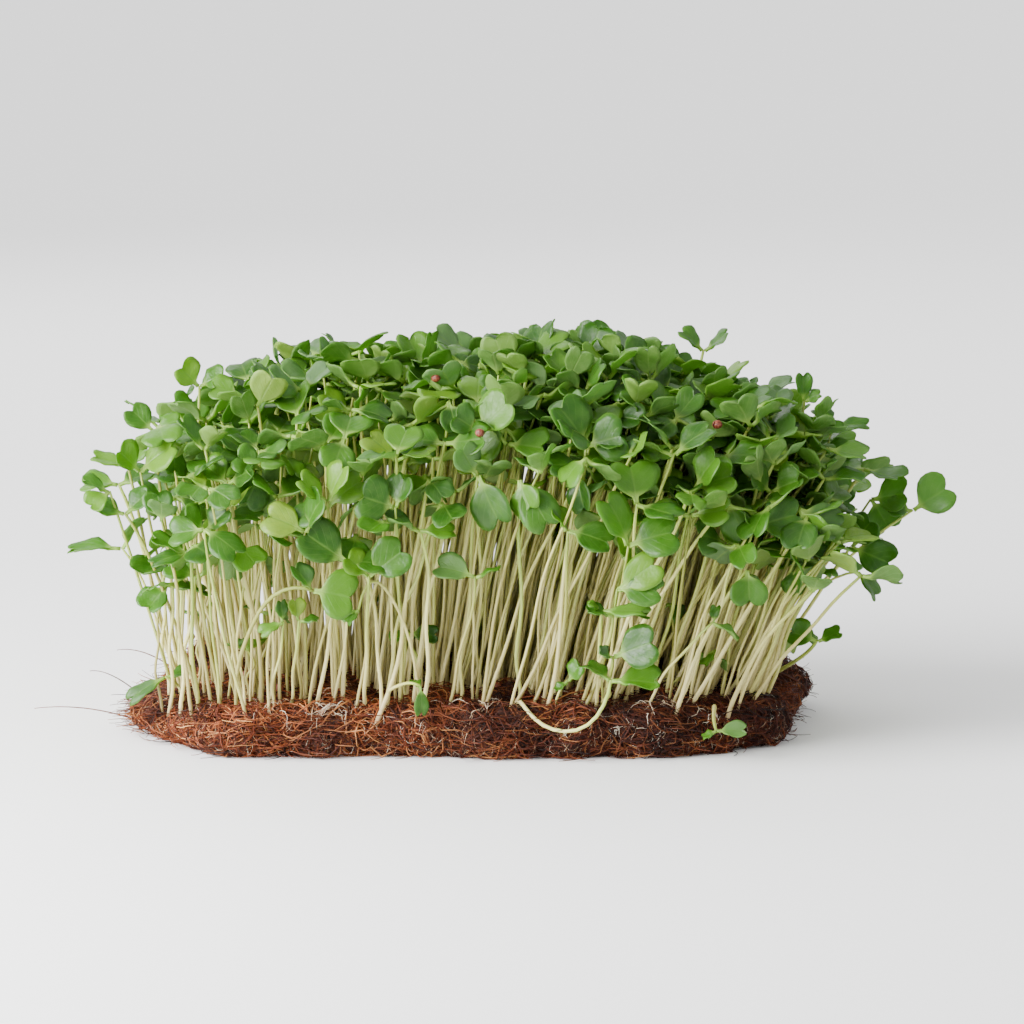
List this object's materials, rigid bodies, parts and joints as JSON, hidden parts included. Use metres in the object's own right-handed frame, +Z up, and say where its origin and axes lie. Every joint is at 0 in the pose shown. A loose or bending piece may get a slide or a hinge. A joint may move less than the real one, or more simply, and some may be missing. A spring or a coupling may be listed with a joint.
{
  "type": "microgreens on a coir mat",
  "caption": "Oblong mat of coir fibre thickly grown with cress-like microgreens: slim pale stems with pairs of notched green seed leaves, which fan out past the mat.",
  "frame": {"origin": "centre of the coir mat's flat underside", "axes": "+X along the mat's length, +Y across it to the back, +Z up the stems"},
  "size_m": [0.2552, 0.1297, 0.1116],
  "materials": {
    "coir": "damp reddish-brown coconut fibre, loosely matted",
    "sprout": "living plant: pale cream-green stems and waxy green leaves, slightly translucent",
    "seed_coat": "dry reddish-brown seed skin with a faint sheen"
  },
  "bodies": {
    "root": {"coir_mat": "coir", "clump_01": "sprout", "clump_02": "sprout", "clump_03": "sprout", "clump_04": "sprout", "clump_05": "sprout", "clump_06": "sprout", "clump_07": "sprout", "clump_08": "sprout", "clump_09": "sprout", "clump_10": "sprout", "clump_11": "sprout", "clump_12": "sprout", "clump_13": "sprout", "clump_14": "sprout", "clump_15": "sprout", "clump_16": "sprout", "clump_17": "sprout", "clump_18": "sprout", "clump_19": "sprout", "clump_20": "sprout", "clump_21": "sprout", "clump_22": "sprout", "clump_23": "sprout", "clump_24": "sprout", "clump_25": "sprout", "clump_26": "sprout", "clump_27": "sprout", "clump_28": "sprout", "clump_29": "sprout", "clump_30": "sprout", "clump_31": "sprout", "clump_32": "sprout", "clump_33": "sprout", "clump_34": "sprout", "clump_35": "sprout", "clump_36": "sprout", "clump_37": "sprout", "clump_38": "sprout", "clump_39": "sprout", "clump_40": "sprout", "clump_41": "sprout", "clump_42": "sprout", "clump_43": "sprout", "sprout_arching": "sprout", "sprout_far_left": "sprout", "sprout_left_fork": "sprout", "sprout_left_upper": "sprout", "sprout_front_left": "sprout", "sprout_front_small": "sprout", "sprout_front_pair": "sprout", "sprout_drooping": "sprout", "sprout_front_high": "sprout", "sprout_reaching_right": "sprout", "sprout_right_low": "sprout", "sprout_right_foot": "sprout", "sprout_standing_tall": "sprout", "seed_coat_1": "seed_coat", "seed_coat_2": "seed_coat", "seed_coat_3": "seed_coat"}
  },
  "joints": []
}
